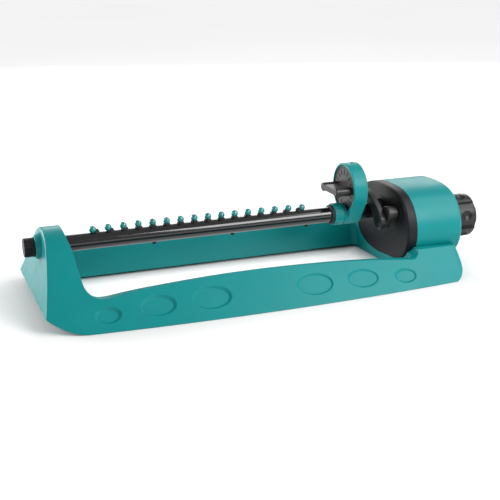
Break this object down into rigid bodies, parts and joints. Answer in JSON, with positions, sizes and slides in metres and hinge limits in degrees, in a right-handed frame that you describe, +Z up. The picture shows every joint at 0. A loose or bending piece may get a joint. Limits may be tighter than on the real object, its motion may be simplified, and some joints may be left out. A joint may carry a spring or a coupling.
{
  "type": "oscillating lawn sprinkler",
  "caption": "Oscillating lawn sprinkler: hollow sled base, rocking spray tube with a fan of nozzles, range dial, water-turbine gearbox and a hose nut.",
  "frame": {"origin": "on the ground, under the middle of the overall bounding box", "axes": "+X along the length towards the hose nut, +Y to the rear, +Z up"},
  "size_m": [0.433, 0.1856, 0.1003],
  "materials": {
    "teal_shell": "satin moulded, fine grain",
    "teal_gloss": "polished",
    "gloss_black": "polished",
    "black_plastic": "satin moulded",
    "grey_plastic": "satin moulded",
    "black_rubber": "matt",
    "white_nylon": "moulded",
    "steel": "turned"
  },
  "bodies": {
    "base": {"base_frame": "teal_shell", "left_bearing_bush": "black_plastic", "face_plate": "black_plastic", "shaft_seal": "black_rubber", "tube_socket": "black_plastic", "plate_gasket": "black_rubber", "motor_housing": "teal_shell", "housing_screws": "steel", "gearbox_plate": "white_nylon", "gearbox_screws": "steel", "gear_axles": "steel", "turbine_jet": "white_nylon", "inlet_stem": "black_plastic"},
    "spray_bar": {"spray_tube": "gloss_black", "nozzle_seats": "black_rubber", "nozzle_tips": "teal_gloss", "drain_pegs": "black_plastic", "collar_grommet": "black_rubber", "dial_housing": "teal_shell", "journal_stub": "gloss_black", "tube_seals": "black_rubber"},
    "end_plug": {"end_plug": "black_plastic", "plug_seal": "black_rubber"},
    "range_selector": {"range_selector": "grey_plastic", "selector_washer": "black_plastic", "selector_screw": "steel", "selector_pin": "steel"},
    "crank": {"crank_arm": "grey_plastic", "crank_pin": "black_plastic", "output_shaft": "steel", "output_gear": "white_nylon"},
    "link": {"link_arm": "grey_plastic"},
    "second_idler": {"second_idler_gear": "white_nylon"},
    "first_idler": {"first_idler_gear": "white_nylon"},
    "turbine": {"turbine_shaft": "white_nylon", "turbine_wheel": "white_nylon"},
    "hose_nut": {"hose_nut": "grey_plastic", "hose_washer": "black_rubber", "inlet_filter": "steel"}
  },
  "joints": [
    {"name": "tube_swing", "type": "hinge", "parent": "base", "child": "spray_bar", "pos_m": [0, 0, 0.052], "axis": [1, 0, 0], "range_deg": [-38, 38]},
    {"name": "crank_spin", "type": "hinge", "parent": "base", "child": "crank", "pos_m": [0.112, -0.03, 0.055], "axis": [1, 0, 0], "continuous": true},
    {"name": "link_turn", "type": "hinge", "parent": "crank", "child": "link", "pos_m": [0.106, -0.025, 0.048], "axis": [1, 0, 0], "continuous": true},
    {"name": "second_idler_spin", "type": "hinge", "parent": "base", "child": "second_idler", "pos_m": [0.145, -0.01959, 0.04595], "axis": [1, 0, 0], "continuous": true},
    {"name": "first_idler_spin", "type": "hinge", "parent": "base", "child": "first_idler", "pos_m": [0.15, -0.00662, 0.04123], "axis": [1, 0, 0], "continuous": true},
    {"name": "turbine_spin", "type": "hinge", "parent": "base", "child": "turbine", "pos_m": [0.16, 0.00688, 0.03836], "axis": [1, 0, 0], "continuous": true},
    {"name": "selector_turn", "type": "hinge", "parent": "spray_bar", "child": "range_selector", "pos_m": [0.084, 0, 0.0759], "axis": [1, 0, 0], "range_deg": [-50, 50]},
    {"name": "plug_pull", "type": "slide", "parent": "spray_bar", "child": "end_plug", "axis": [-1, 0, 0], "range_m": [0, 0.014]},
    {"name": "nut_spin", "type": "hinge", "parent": "base", "child": "hose_nut", "pos_m": [0.2, 0, 0.0372], "axis": [1, 0, 0], "continuous": true}
  ],
  "couplings": [
    {"joint": "crank_spin", "follows": "tube_swing", "ratio": -2.18},
    {"joint": "link_turn", "follows": "tube_swing", "ratio": 2.35},
    {"joint": "second_idler_spin", "follows": "tube_swing", "ratio": 7.848},
    {"joint": "first_idler_spin", "follows": "tube_swing", "ratio": -28.253},
    {"joint": "turbine_spin", "follows": "tube_swing", "ratio": 101.71}
  ]
}
